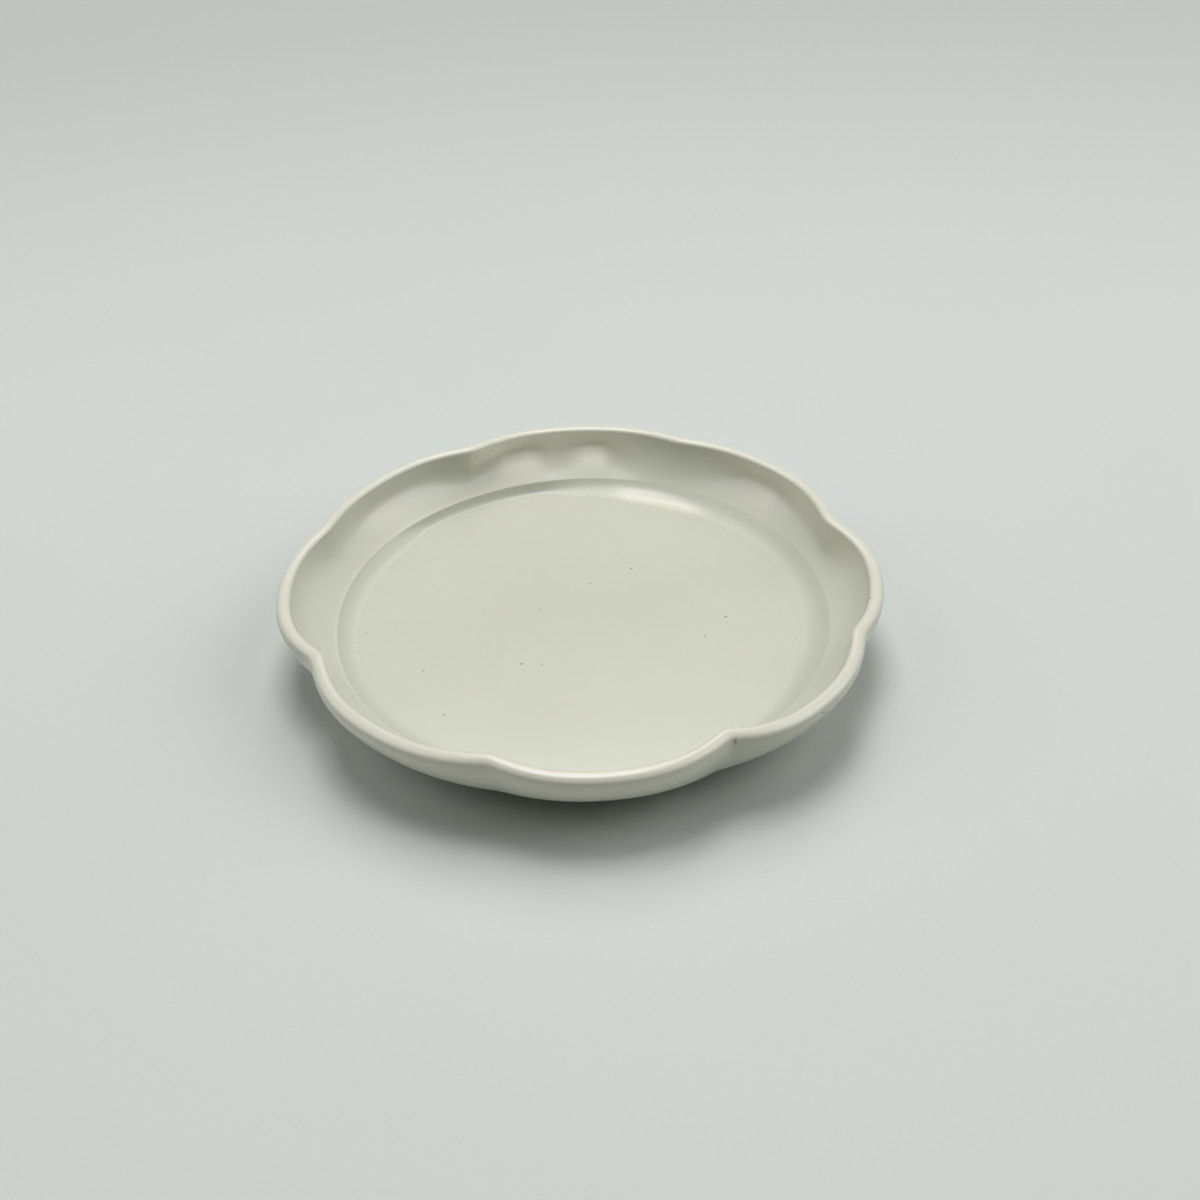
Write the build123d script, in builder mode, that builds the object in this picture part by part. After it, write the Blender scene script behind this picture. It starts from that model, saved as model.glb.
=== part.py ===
"""Scalloped dessert plate: pinched clay dish, luted foot ring and the glaze over both.

Millimetres, +Z up, table plane at z = 0, plate axis on Z.
Heights and radii are those of the glazed surface unless a comment says otherwise.
"""

from build123d import *
from math import cos, pi, radians, sin, sqrt
import os

os.makedirs("parts", exist_ok=True)

# Heights, each from the level below it
foot_height = 4.0
floor_thickness = 3.2
step_height = 2.4
wall_height = 9.9

# Floor and the low step around it
ledge_radius = 54.1
step_turn = 60.0
ledge_edge_radius = 0.5
ledge_slope = 28.0

# Wall and lip
rim_radius = 63.4
lip_thickness = 3.0
lip_crown = 1.0
lip_squareness = 2.8
lip_wrap = 150.0
lip_lean = 86.0
wall_lean = 74.0
inner_ledge_handle = 5.5
inner_lip_handle = 4.0
outer_lip_handle = 3.4
outer_base_handle = 7.2
base_radius = 50.0

# Rim pinched in at eight places: where and how deep, then how far the lobe after it stands out
# and how far that lobe's wall is pressed out above the ledge
notch_angles = [18.0, 66.0, 117.0, 160.5, 206.0, 253.0, 297.0, 338.0]
notch_depths = [4.1, 2.8, 4.0, 1.8, 2.8, 1.8, 3.0, 1.8]
lobe_reaches = [-1.2, -0.9, -0.5, 1.0, 0.3, 0.5, 0.8, 0.1]
lobe_hollows = [0.5, 2.8, 1.2, 0.4, 0.5, 0.4, 0.6, 0.4]
notch_rise = 0.7
notch_softness = 0.10
lobe_fullness = 2.6
lean_per_pinch = 5.0

# Clay foot ring
foot_radius = 40.0
foot_bottom_width = 3.6
foot_top_width = 5.6
foot_edge_bevel = 0.6

# Glaze
glaze_thickness = 0.3
glaze_bead = 1.0
bare_foot_height = 1.2

# Places across each lobe, as shares of the way from one notch to the next
lobe_shares = [0.0, 0.08, 0.22, 0.5, 0.78, 0.92]

# Rows up each outline: cove, ledge edge, inner wall, lip and outer wall
glaze_row_counts = (3, 1, 5, 6, 6)
clay_row_counts = (2, 1, 5, 3, 6)

floor_z = foot_height + floor_thickness
lip_z = floor_z + step_height + wall_height
step_sin, step_cos = sin(radians(step_turn)), cos(radians(step_turn))
slope_sin, slope_cos = sin(radians(ledge_slope)), cos(radians(ledge_slope))
lip_sin, lip_cos = sin(radians(lip_lean)), cos(radians(lip_lean))
cove_radius = (step_height - ledge_edge_radius * (slope_cos - step_cos)) / (1 - step_cos)
cove_start = ledge_radius - cove_radius * step_sin - ledge_edge_radius * (step_sin - slope_sin)


def pinch_at(lobe, share):
    """How hard a pinch acts at a share of the way across a lobe, and the depth of that pinch."""
    notch = lobe if share < 0.5 else (lobe + 1) % len(notch_angles)
    away = 1 - abs(2 * share - 1)
    soft = sqrt(away**2 + notch_softness**2) - notch_softness
    soft_end = sqrt(1 + notch_softness**2) - notch_softness
    return (1 - soft / soft_end) ** lobe_fullness, notch_depths[notch]


def arc_points(centre, radius, first, last, count):
    """Points along an arc in the radial plane, angles in degrees from the outward axis."""
    turns = [radians(first + (last - first) * step / count) for step in range(count + 1)]
    return [centre + Vector(cos(turn), sin(turn)) * radius for turn in turns]


def curve_points(start, start_lead, end_lead, end, count):
    """Points along a cubic curve drawn by its two ends and their leads."""
    points = []
    for step in range(count + 1):
        t = step / count
        s = 1 - t
        points.append(start * s**3 + start_lead * 3 * s * s * t + end_lead * 3 * s * t * t + end * t**3)
    return points


def wall_line(lobe, share, skin, rows):
    """Radial outline from the floor over the lip to the base, a skin below the glazed surface."""
    cove_rows, ledge_rows, inner_rows, lip_rows, outer_rows = rows
    weight, depth = pinch_at(lobe, share)
    rim = rim_radius + lobe_reaches[lobe] * (1 - weight) - depth * weight
    lean = radians(wall_lean + lean_per_pinch * depth * weight)
    wall_up = Vector(cos(lean), sin(lean))
    up, out = Vector(lip_cos, lip_sin), Vector(lip_sin, -lip_cos)
    cove_centre = Vector(cove_start, floor_z + cove_radius)
    cove = arc_points(cove_centre, cove_radius + skin, -90, step_turn - 90, cove_rows)
    edge_radius = ledge_edge_radius - skin
    edge_centre = cove[-1] + Vector(step_sin, -step_cos) * edge_radius
    ledge = arc_points(edge_centre, edge_radius, step_turn + 90, ledge_slope + 90, ledge_rows)
    lip_mid = Vector(rim, lip_z + notch_rise * weight) - up * lip_crown
    half, crown = lip_thickness / 2 - skin, lip_crown - skin
    turns = [radians(lip_wrap * row / lip_rows) for row in range(lip_rows + 1)]
    lip = []
    for turn in turns:
        power = 2 / lip_squareness if turn < pi / 2 else 1
        lip.append(lip_mid - out * half * cos(turn) + up * crown * sin(turn) ** power)
    hollow = lobe_hollows[lobe] * sin(pi * share) ** 2
    lead_in = ledge[-1] + Vector(slope_cos, slope_sin) * (inner_ledge_handle + hollow)
    inner = curve_points(ledge[-1], lead_in, lip[0] - wall_up * inner_lip_handle, lip[0], inner_rows)
    heading = (out * half * sin(turns[-1]) + up * crown * cos(turns[-1])).normalized()
    base = Vector(base_radius, foot_height + skin)
    lead_out = lip[-1] + heading * outer_lip_handle
    outer = curve_points(lip[-1], lead_out, base + Vector(outer_base_handle, 0), base, outer_rows)
    return cove + ledge[1:] + inner[1:] + lip[1:] + outer[1:]


def dish_skin(skin, rows):
    """Faces of the pinched surface from the floor over the lip to the base, and its two end rings."""
    outlines, turns = [], []
    for lobe, start in enumerate(notch_angles):
        span = (notch_angles[(lobe + 1) % len(notch_angles)] - start) % 360
        for share in lobe_shares:
            outlines.append(wall_line(lobe, share, skin, rows))
            turns.append(radians(start + share * span))
    cuts = [(radians(angle) - turns[0]) / (2 * pi) for angle in notch_angles] + [1]
    rings = []
    for row in zip(*outlines):
        points = [Vector(p.X * cos(turn), p.X * sin(turn), p.Y) for p, turn in zip(row, turns)]
        ring = Edge.make_spline(points, periodic=True, parameters=turns + [turns[0] + 2 * pi])
        rings.append(Wire([ring.trim(start, end) for start, end in zip(cuts, cuts[1:])]))
    return Shell.make_loft(rings, ruled=True).faces(), rings[0], rings[-1]


# Fired clay dish, one glaze thickness inside the glazed surface
clay_skin, clay_floor_rim, clay_base_rim = dish_skin(glaze_thickness, clay_row_counts)
clay_floor = Face(clay_floor_rim)
with BuildPart() as plate_body:
    add(Solid(Shell(clay_skin + [clay_floor, Face(clay_base_rim)])))
plate_body.part.label = "plate_body"
export_step(plate_body.part, "parts/plate_body.step")

# Clay ring luted to the underside, narrowing towards the table
clay_base_z = foot_height + glaze_thickness
foot_in_top, foot_out_top = foot_radius - foot_top_width / 2, foot_radius + foot_top_width / 2
foot_in_low, foot_out_low = foot_radius - foot_bottom_width / 2, foot_radius + foot_bottom_width / 2
with BuildPart() as foot_ring:
    with BuildSketch(Plane.XZ) as foot_cut:
        with BuildLine():
            Polyline(
                (foot_in_low, 0),
                (foot_out_low, 0),
                (foot_out_top, clay_base_z),
                (foot_in_top, clay_base_z),
                close=True,
            )
        make_face()
        chamfer(foot_cut.vertices().group_by(Axis.Y)[0], foot_edge_bevel)
    revolve(axis=Axis.Z)
foot_ring.part.label = "foot_ring"
export_step(foot_ring.part, "parts/foot_ring.step")

# Where the coat meets the foot: along its slanting side, down to the wiped line
side_run = (foot_top_width - foot_bottom_width) / 2 / clay_base_z
coat_run = glaze_thickness * sqrt(1 + side_run**2)
bare_in, bare_out = foot_in_low - side_run * bare_foot_height, foot_out_low + side_run * bare_foot_height
root_in = foot_in_low - side_run * foot_height - coat_run
root_out = foot_out_low + side_run * foot_height + coat_run

# Glaze inside the foot, cut off from the rest by the bare ring
bead_z = foot_height - glaze_bead
with BuildPart() as recess_glaze:
    with BuildSketch(Plane.XZ):
        with BuildLine():
            Polyline(
                (0, foot_height),
                (root_in - glaze_bead, foot_height),
                (root_in + side_run * glaze_bead, bead_z),
                (bare_in - coat_run, bare_foot_height),
                (bare_in, bare_foot_height),
                (foot_in_top, clay_base_z),
                (0, clay_base_z),
                close=True,
            )
        make_face()
    revolve(axis=Axis.Z)
recess_glaze.part.label = "recess_glaze"
export_step(recess_glaze.part, "parts/recess_glaze.step")

# Glaze over the dish and down the outside of the foot
bead_end = root_out + glaze_bead
with BuildLine(Plane.XZ) as skirt:
    Polyline(
        (bead_end, foot_height),
        (root_out - side_run * glaze_bead, bead_z),
        (bare_out + coat_run, bare_foot_height),
        (bare_out, bare_foot_height),
        (foot_out_top, clay_base_z),
    )
skirt_faces = [Face.revolve(edge, 360, Axis.Z) for edge in skirt.edges()]
coat_skin, coat_floor_rim, coat_base_rim = dish_skin(0, glaze_row_counts)
coat_hole = Wire.make_circle(bead_end, Plane((0, 0, foot_height)))
clay_hole = Wire.make_circle(foot_out_top, Plane((0, 0, clay_base_z)))
flats = [Face(coat_floor_rim), clay_floor, Face(coat_base_rim, [coat_hole]), Face(clay_base_rim, [clay_hole])]
with BuildPart() as glaze_coat:
    add(Solid(Shell(coat_skin + clay_skin + flats + skirt_faces)))
glaze_coat.part.label = "glaze_coat"
export_step(glaze_coat.part, "parts/glaze_coat.step")
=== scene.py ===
"""Scalloped dessert plate: its glaze, turned foot, clay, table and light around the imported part."""

from math import cos, pi, radians, sin, sqrt, tan

import bmesh
import bpy
from bpy.props import FloatProperty, FloatVectorProperty, IntVectorProperty, PointerProperty
from mathutils import Matrix, Vector


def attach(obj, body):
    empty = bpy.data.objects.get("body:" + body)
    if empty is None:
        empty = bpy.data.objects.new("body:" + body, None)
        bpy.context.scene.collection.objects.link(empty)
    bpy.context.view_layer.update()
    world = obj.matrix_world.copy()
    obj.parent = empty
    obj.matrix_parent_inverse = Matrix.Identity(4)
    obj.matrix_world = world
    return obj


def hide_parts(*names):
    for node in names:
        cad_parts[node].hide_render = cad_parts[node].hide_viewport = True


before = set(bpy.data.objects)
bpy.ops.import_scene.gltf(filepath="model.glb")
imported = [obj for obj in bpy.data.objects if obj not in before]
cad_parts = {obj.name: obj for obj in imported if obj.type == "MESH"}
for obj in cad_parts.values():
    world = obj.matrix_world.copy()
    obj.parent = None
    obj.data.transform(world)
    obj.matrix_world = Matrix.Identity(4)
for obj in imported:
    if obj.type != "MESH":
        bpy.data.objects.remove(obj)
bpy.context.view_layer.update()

bl_info = {
    "name": "Scalloped dessert plate",
    "version": (1, 0, 0),
    "blender": (4, 5, 0),
    "location": "View3D > Sidebar > Plate",
    "description": "Glaze, turned foot, table and light for a hand-pinched dessert plate",
    "category": "Object",
}

MM = 0.001


def length_prop(name, description, millimetres):
    """A length that the sidebar shows in the scene's units."""
    return FloatProperty(name=name, description=description, default=millimetres * MM,
                         precision=5, subtype="DISTANCE", unit="LENGTH")


def lengths_prop(name, description, millimetres):
    """A row of lengths, one for each place around the rim."""
    return FloatVectorProperty(name=name, description=description, default=[d * MM for d in millimetres],
                               size=len(millimetres), unit="LENGTH")


def angle_prop(name, description, degrees):
    """An angle that the sidebar shows in degrees."""
    return FloatProperty(name=name, description=description, default=radians(degrees),
                         subtype="ANGLE", unit="ROTATION")


def angles_prop(name, description, degrees):
    """A row of angles about the axis, or the two between which a stretch of the rim lies."""
    return FloatVectorProperty(name=name, description=description, default=[radians(d) for d in degrees],
                               size=len(degrees), unit="ROTATION")


def factor_prop(name, description, value):
    """A plain number."""
    return FloatProperty(name=name, description=description, default=value)


def colour_prop(name, description, colour):
    """A colour that the sidebar shows as a swatch."""
    return FloatVectorProperty(name=name, description=description, default=colour, size=3,
                               min=0.0, max=1.0, subtype="COLOR")


class PlateSizes(bpy.types.PropertyGroup):
    """Sizes of the glazed plate: those of its solids, and finer ones that only its surface shows."""

    foot_height: length_prop("Foot height", "Table to the glazed underside", 4.0)
    floor_thickness: length_prop("Floor thickness", "Underside to the glazed floor", 3.2)
    step_height: length_prop("Step height", "Floor to the ledge around it", 2.4)
    wall_height: length_prop("Wall height", "Ledge to the top of a lobe's lip", 9.9)
    ledge_radius: length_prop("Ledge radius", "Axis to the ledge's inner edge", 54.1)
    ledge_edge_radius: length_prop("Ledge edge", "Rounding of the ledge's inner edge", 0.5)
    step_turn: angle_prop("Step turn", "How far the cove turns up below the ledge", 60.0)
    soft_step_turn: angle_prop("Soft step turn", "The same where the throwing spiral runs out", 45.0)
    soft_step: angles_prop("Soft step", "Where the soft stretch of the step begins and ends", (-35.0, 86.0))
    crisp_step_turn: angle_prop("Crisp step turn", "The same where a rib has cut the step clean", 72.0)
    crisp_cove: length_prop("Crisp cove", "Run of the cove along that clean stretch", 0.7)
    crisp_step: angles_prop("Crisp step", "Where that clean stretch begins and ends", (97.0, 140.0))
    ledge_slope: angle_prop("Ledge slope", "Slope of the wall where it leaves the ledge", 28.0)
    rim_radius: length_prop("Rim radius", "Axis to the middle of a lobe's lip", 63.4)
    lip_thickness: length_prop("Lip thickness", "Across the lip", 3.0)
    lip_crown: length_prop("Lip crown", "Rise of the rounded lip", 1.0)
    lip_wrap: angle_prop("Lip wrap", "How far the lip rolls over to the outside", 150.0)
    lip_lean: angle_prop("Lip lean", "Lean of the lip itself, a right angle being level", 86.0)
    tipped_lip_lean: angle_prop("Tipped lip lean", "The same where the lip is tipped outwards", 70.0)
    tipped_lip: angles_prop("Tipped lip", "Where that tipped stretch begins and ends", (210.0, 335.0))
    lip_squareness: factor_prop("Lip squareness", "How flat the lip's top is, 2 being round", 2.8)
    round_lip: angles_prop("Round lip", "Where the stretch of rounder lip begins and ends", (48.0, 132.0))
    wall_lean: angle_prop("Wall lean", "Lean of the wall below the lip", 74.0)
    inner_ledge_handle: length_prop("Ledge lead", "Run of the wall along the ledge's slope", 5.5)
    inner_lip_handle: length_prop("Inner lip lead", "Run of the inner wall below the lip", 4.0)
    outer_lip_handle: length_prop("Outer lip lead", "Run of the outer wall below the lip", 3.4)
    outer_base_handle: length_prop("Base lead", "Run of the outer wall along the underside", 7.2)
    base_radius: length_prop("Base radius", "Axis to where the outer wall starts", 50.0)
    lobe_fullness: factor_prop("Lobe fullness", "How quickly the rim fills out beside a pinch", 2.6)
    lean_per_pinch: factor_prop(
        "Lean per pinch", "Degrees that the wall stands up for each millimetre of pinch", 5.0)
    lean_per_press: factor_prop(
        "Lean per press", "Degrees that the wall stands up for each millimetre of press", 0.4)
    slope_per_press: factor_prop(
        "Slope per press", "Degrees that the ledge steepens for each millimetre of press", 0.8)
    slope_per_ridge: factor_prop(
        "Slope per ridge", "Degrees that the ledge steepens for each millimetre of ridge", 2.5)
    notch_angles: angles_prop(
        "Notch angles", "Where the rim is pinched", (18.0, 66.0, 117.0, 160.5, 206.0, 253.0, 297.0, 338.0))
    notch_depths: lengths_prop(
        "Notch depths", "How far each pinch goes in", (4.1, 2.8, 4.0, 1.8, 2.8, 1.8, 3.0, 1.8))
    notch_rises: lengths_prop(
        "Notch rises", "Lift of the lip at each pinch", (0.7, 0.1, 0.7, 0.7, 0.7, 0.8, 0.8, 0.7))
    notch_softness: FloatVectorProperty(
        name="Notch softness", description="Rounding of each pinch, as a share of half a lobe", size=8,
        default=(0.17, 0.06, 0.08, 0.10, 0.10, 0.04, 0.04, 0.10))
    lobe_reaches: lengths_prop(
        "Lobe reaches", "How far the lobe after each pinch stands out",
        (-1.2, -0.9, -0.5, 1.0, 0.3, 0.5, 0.8, 0.1))
    press_angles: angles_prop(
        "Press angles", "Places where fingertips pressed the wall or left a ridge",
        (18, 30, 40, 48, 54, 60, 66, 72, 79, 85, 88, 91, 95, 98, 102,
         104, 108, 112, 118, 122, 126, 132, 140, 146, 152, 162, 200, 300, 340))
    press_reaches: lengths_prop(
        "Press reaches", "How far the wall is drawn out above the ledge at each of those places",
        (0.2, 0.8, 3.0, 2.5, 0.6, -1.6, -3.2, -2.6, 0.2, 3.9, 4.1, 3.1, 2.1, 2.3, 3.9,
         4.1, 3.8, 2.3, 0.6, 0.8, 1.8, 2.3, 2.6, 2.6, 1.4, 0.4, 0.3, 0.3, 0.3))
    # Painted highlight: pressed places on the back wall are painted lighter, fully at this press
    pale_press: length_prop("Pale press", "Press at which the glaze has drained to its palest", 4.2)
    # Painted shade: the glaze along the back ledge is painted darker
    shaded_ledge: angles_prop("Shaded ledge", "Where glaze has gathered along the ledge", (58.0, 97.0))
    # Painted highlight: the cove is painted lighter where the throwing spiral ends
    spiral_end: angles_prop("Spiral end", "Where the throwing spiral ends in a pale ridge", (56.0, 80.0))
    # Painted light, with partly thinner and warmer glaze: stretches of the right, back and outer walls
    # painted lighter
    drained_right: angles_prop("Drained right", "Where the glaze ran thin on the right wall", (8.0, 52.0))
    drained_back: angles_prop("Drained back", "The same on the back wall", (80.0, 116.0))
    drained_outside: angles_prop("Drained outside", "The same on the outer wall", (205.0, 290.0))
    foot_radius: length_prop("Foot radius", "Axis to the middle of the foot", 40.0)
    foot_bottom_width: length_prop("Foot width", "Across the foot at the table", 3.6)
    foot_top_width: length_prop("Foot root", "Across the foot at the dish", 5.6)
    foot_edge: length_prop("Foot edge", "Rounding of the foot's two lower edges", 0.6)
    glaze_thickness: length_prop("Glaze thickness", "From the glazed surface to the clay", 0.3)
    glaze_bead: length_prop("Glaze bead", "Fillet of glaze where the foot meets the dish", 1.0)
    bare_foot_height: length_prop("Bare foot", "Height of the foot that is wiped clean", 1.2)
    ring_pitch: length_prop("Throwing pitch", "Radial distance from one throwing ring to the next", 4.6)
    ring_depth: length_prop("Throwing depth", "Half the height of a throwing ring on the floor", 0.006)
    lobe_columns: IntVectorProperty(name="Columns", description="Columns of faces across each lobe", size=8,
                                    default=(48, 84, 72, 40, 40, 48, 48, 40), min=8)


class PlateLooks(bpy.types.PropertyGroup):
    """Colours of the plate and of the stage around it."""

    glaze: colour_prop("Glaze", "Off-white satin glaze", (0.618, 0.626, 0.531))
    # Thinner, warmer glaze over the edges; the same colour also paints light on stretches of the walls and a
    # highlight in the cove
    thin_glaze: colour_prop("Thin glaze", "Glaze drawn thin over an edge", (0.745, 0.730, 0.615))
    # Painted highlight on pressed places, and painted light high on the back wall
    palest_glaze: colour_prop("Palest glaze", "Glaze that drained off a pressed place", (0.850, 0.840, 0.720))
    # Glaze pooled in the cove and the foot's fillet, and also painted shade along the back ledge
    pooled_glaze: colour_prop("Pooled glaze", "Glaze gathered in a hollow", (0.540, 0.560, 0.462))
    speck: colour_prop("Iron speck", "Iron showing through the glaze", (0.150, 0.085, 0.040))
    spot_place: FloatVectorProperty(
        name="Iron spot", description="Where one larger spot shows, at a front pinch", size=3,
        default=(0.0288, -0.0546, 0.0190), precision=4, subtype="TRANSLATION", unit="LENGTH")
    clay: colour_prop("Bare clay", "Fired clay where the glaze is wiped off", (0.560, 0.470, 0.350))
    table: colour_prop("Table", "Pale table top", (0.655, 0.690, 0.662))


# Rows up each stretch of the pinched outline: cove, ledge edge, inner wall, lip and outer wall
SURFACE_ROWS = (8, 4, 18, 16, 22)
CLAY_SIDE_ROWS = (4, 2, 8, 6, 10)

# Rows along the other stretches, and columns around the two turned pieces
FLOOR_ROWS = 46
CLAY_FLOOR_ROWS = 6
UNDERSIDE_ROWS = 6
BEAD_ROWS = 8
SKIRT_ROWS = 4
ROLLED_EDGE_ROWS = 6
COAT_BACK_ROWS = 4
RECESS_ROWS = 24
RECESS_BACK_ROWS = 3
RECESS_TOP_ROWS = 6
RECESS_COLUMNS = 192
FOOT_ROWS = 6
FOOT_TOP_ROWS = 4
FOOT_COLUMNS = 256

# How much closer the columns stand at a pinch, and the angle above which an edge stays sharp
COLUMN_CROWDING = 0.6
SHARP_ANGLE = radians(50)

# Angle over which one stretch of the rim passes into the next, and the same for the painted highlight where
# the throwing spiral ends
STEP_FADE = radians(30)
STREAK_FADE = radians(8)

# How far a press draws out the wall's lead along the ledge, and shortens the one below the lip
PRESS_LEDGE_LEAD = 1.4
PRESS_LIP_LEAD = 0.25

# Squareness of the rounder lip, and how quickly the throwing rings fade near the floor's edge
ROUND_SQUARENESS = 2.0
RING_FADE_POWER = 6

# Share of the way to the corner at which a cubic's lead makes it look like an arc
ARC_LEAD = 0.62
ROUNDING_LEAD = 0.6

# What the coat notes at each of its points: how thin the glaze is, with painted light on some walls and a
# painted highlight in the cove; how much painted highlight and painted light lies on the back wall; and how
# pooled the glaze is, with painted shade along the back ledge
GLAZE_STATES = ("thin", "pale", "pooled")

# Shares of the way along a stretch of the coat between which the glaze passes from one state to another: the
# cove's painted highlight, the back ledge's painted shade, the press highlight and the painted light on the
# walls
COVE_HIGHLIGHT = (0.3, 0.6)
LEDGE_SHADE = (0.04, 0.16)
PRESS_HIGHLIGHT_START = (0.03, 0.2)
PRESS_HIGHLIGHT_END = (0.36, 0.6)
WALL_PAINTED_LIGHT = (0.45, 0.7)
WALL_THIN_LIT = (0.3, 0.8)
OUTSIDE_THIN_LIT = (0.1, 0.8)

# How thin the glaze is on the ledge's edge, how much less where the step is soft, and how much painted light
# lies high on the back wall
SHOULDER_THIN = 0.6
SOFT_SHOULDER_LOSS = 0.5
PAINTED_LIGHT_ABOVE = 0.9


# Outlines in the radial plane, each a list of (radius, height) points


def arc_points(centre, radius, first, last, count):
    """Points along an arc, angles in radians from the outward axis."""
    turns = [first + (last - first) * step / count for step in range(count + 1)]
    return [centre + Vector((cos(turn), sin(turn))) * radius for turn in turns]


def curve_points(start, start_lead, end_lead, end, count):
    """Points along a cubic curve drawn by its two ends and their leads."""
    points = []
    for step in range(count + 1):
        t = step / count
        s = 1 - t
        points.append(start * s**3 + start_lead * 3 * s * s * t + end_lead * 3 * s * t * t + end * t**3)
    return points


def rounded_corner(start, corner, end, lead, count):
    """A corner rounded from one point to another."""
    return curve_points(start, start.lerp(corner, lead), end.lerp(corner, lead), end, count)


def line_points(start, end, count):
    """Evenly spaced points on a straight run."""
    return [start.lerp(end, step / count) for step in range(count + 1)]


def ramp(value, low, high):
    """Smooth rise from 0 to 1 between two values."""
    t = min(max((value - low) / (high - low), 0), 1)
    return t * t * (3 - 2 * t)


def stretch(turn, first, last, fade):
    """1 along a stretch of the rim, falling smoothly to 0 across each of its ends."""
    middle, reach = (first + last) / 2, (last - first) / 2
    away = abs((turn - middle + pi) % (2 * pi) - pi)
    return 1 - ramp(away, reach - fade / 2, reach + fade / 2)


def turn_at(sizes, lobe, share):
    """Angle about the axis at a share of the way across a lobe."""
    start = sizes.notch_angles[lobe]
    span = (sizes.notch_angles[(lobe + 1) % len(sizes.notch_angles)] - start) % (2 * pi)
    return start + share * span


def pinch_at(sizes, lobe, share):
    """How hard a pinch acts at a share of the way across a lobe, and that pinch's depth and rise."""
    notch = lobe if share < 0.5 else (lobe + 1) % len(sizes.notch_angles)
    away = 1 - abs(2 * share - 1)
    softness = sizes.notch_softness[notch]
    soft = sqrt(away**2 + softness**2) - softness
    soft_end = sqrt(1 + softness**2) - softness
    return (1 - soft / soft_end) ** sizes.lobe_fullness, sizes.notch_depths[notch], sizes.notch_rises[notch]


def press_at(sizes, turn):
    """How far the wall is pressed out above the ledge, even from one fingertip's place to the next."""
    angles, reaches = list(sizes.press_angles), list(sizes.press_reaches)
    angles.append(angles[0] + 2 * pi)
    reaches.append(reaches[0])
    turn = angles[0] + (turn - angles[0]) % (2 * pi)
    place = next(number for number in range(len(angles) - 1) if turn <= angles[number + 1])
    share = (turn - angles[place]) / (angles[place + 1] - angles[place])
    return reaches[place] + (reaches[place + 1] - reaches[place]) * share


def step_runs(sizes, turn, ledge_slope, skin, cove_rows, ledge_rows):
    """The cove that turns up from the floor, and the rounded edge of the ledge above it."""
    softened = stretch(turn, *sizes.soft_step, STEP_FADE)
    cut_clean = stretch(turn, *sizes.crisp_step, STEP_FADE / 2)
    step_turn = sizes.step_turn + (sizes.soft_step_turn - sizes.step_turn) * softened
    step_turn += (sizes.crisp_step_turn - sizes.step_turn) * cut_clean
    step = Vector((sin(step_turn), -cos(step_turn)))
    slope = Vector((cos(ledge_slope), sin(ledge_slope)))
    floor_z = sizes.foot_height + sizes.floor_thickness
    edge = sizes.ledge_edge_radius
    cove_top = Vector((sizes.ledge_radius - edge * (step.x - slope.y),
                       floor_z + sizes.step_height - edge * (slope.x + step.y)))
    corner = Vector((cove_top.x - (cove_top.y - floor_z) / tan(step_turn), floor_z))
    full_run = (cove_top - corner).length
    run = full_run + (sizes.crisp_cove - full_run) * cut_clean
    corner += Vector((tan(step_turn / 2), -1)) * skin
    cove_top += step * skin
    cove_start = corner - Vector((run + skin * tan(step_turn / 2), 0))
    cove = rounded_corner(cove_start, corner, cove_top, ARC_LEAD, cove_rows)
    edge_centre = cove[-1] + step * (edge - skin)
    ledge = arc_points(edge_centre, edge - skin, step_turn + pi / 2, ledge_slope + pi / 2, ledge_rows)
    return cove, ledge


def lip_run(sizes, turn, crest, skin, lip_rows):
    """The lip rolled over its crest from inside to outside, and the way it heads at its end."""
    rounded = stretch(turn, *sizes.round_lip, STEP_FADE)
    tipped = stretch(turn, *sizes.tipped_lip, STEP_FADE)
    squareness = sizes.lip_squareness + (ROUND_SQUARENESS - sizes.lip_squareness) * rounded
    lean = sizes.lip_lean + (sizes.tipped_lip_lean - sizes.lip_lean) * tipped
    up = Vector((cos(lean), sin(lean)))
    out = Vector((up.y, -up.x))
    middle = crest - up * sizes.lip_crown
    half, crown = sizes.lip_thickness / 2 - skin, sizes.lip_crown - skin
    lip = []
    for row in range(lip_rows + 1):
        roll = sizes.lip_wrap * row / lip_rows
        power = 2 / squareness if roll < pi / 2 else 1
        lip.append(middle - out * half * cos(roll) + up * crown * sin(roll) ** power)
    heading = out * half * sin(sizes.lip_wrap) + up * crown * cos(sizes.lip_wrap)
    return lip, heading.normalized()


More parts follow.
